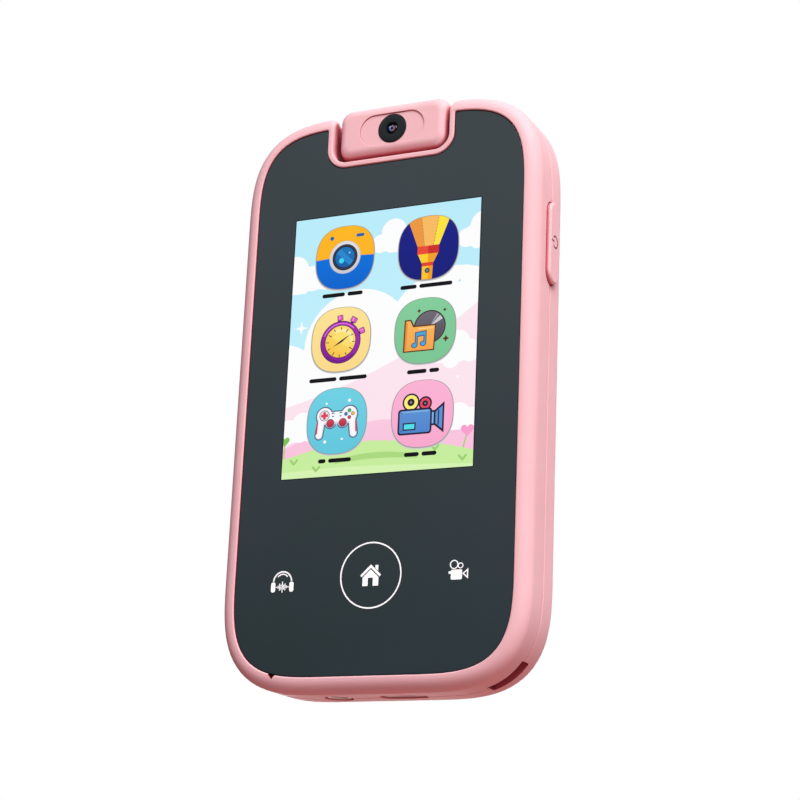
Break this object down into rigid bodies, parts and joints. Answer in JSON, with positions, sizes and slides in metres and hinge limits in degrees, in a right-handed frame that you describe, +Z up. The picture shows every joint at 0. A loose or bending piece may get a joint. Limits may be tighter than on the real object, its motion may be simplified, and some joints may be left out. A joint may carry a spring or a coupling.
{
  "type": "toy cell phone",
  "caption": "Child's touch-screen toy phone with a rounded pink case, a dark front panel, a side button and a camera head that turns over in a notch at the top.",
  "frame": {"origin": "middle of the flat bottom face, on the phone's centre plane and halfway through its thickness", "axes": "+Z up the phone, -Y out of the screen, +X to the viewer's right"},
  "size_m": [0.0696, 0.016, 0.1271],
  "materials": {
    "pink_plastic": "satin moulded",
    "panel_glass": "glossy",
    "display": "lit screen",
    "black_plastic": "moulded",
    "steel": "plated",
    "lens_glass": "coated",
    "circuit_board": "solder mask",
    "battery_foil": "foil pouch",
    "copper_flex": "film",
    "wire": "insulation"
  },
  "bodies": {
    "phone_body": {"front_shell": "pink_plastic", "rear_shell": "pink_plastic", "touch_panel": "panel_glass", "panel_tape": "black_plastic", "lcd_cell": "display", "backlight_frame": "steel", "lcd_flex": "copper_flex", "touch_key_board": "circuit_board", "main_board": "circuit_board", "main_processor": "black_plastic", "memory_chip": "black_plastic", "microphone": "steel", "battery": "battery_foil", "battery_lead": "wire", "speaker": "black_plastic", "speaker_lead": "wire", "headphone_jack_body": "black_plastic", "headphone_jack_sleeve": "steel", "usb_shell": "steel", "usb_tongue": "black_plastic", "power_switch": "steel", "camera_cable_body": "wire", "lanyard_post": "steel", "screw_bottom_left": "steel", "screw_bottom_right": "steel", "screw_top_left": "steel", "screw_top_right": "steel"},
    "camera_head": {"camera_head_front": "pink_plastic", "camera_head_rear": "pink_plastic", "lens_bezel": "black_plastic", "lens_glass": "lens_glass", "lens_barrel": "black_plastic", "camera_module": "black_plastic", "hinge_pin_left": "steel", "hinge_pin_right": "steel", "hinge_washer": "steel", "camera_cable_head": "wire"},
    "power_button": {"power_button": "pink_plastic", "switch_plunger": "black_plastic"}
  },
  "joints": [
    {"name": "camera_head_turn", "type": "hinge", "parent": "phone_body", "child": "camera_head", "pos_m": [0, 0, 0.12125], "axis": [-1, 0, 0], "range_deg": [0, 180]},
    {"name": "power_button_press", "type": "slide", "parent": "phone_body", "child": "power_button", "axis": [-1, 0, 0], "range_m": [0, 0.0004], "stiffness_N_per_m": 3000, "springref_m": -0.0001}
  ]
}
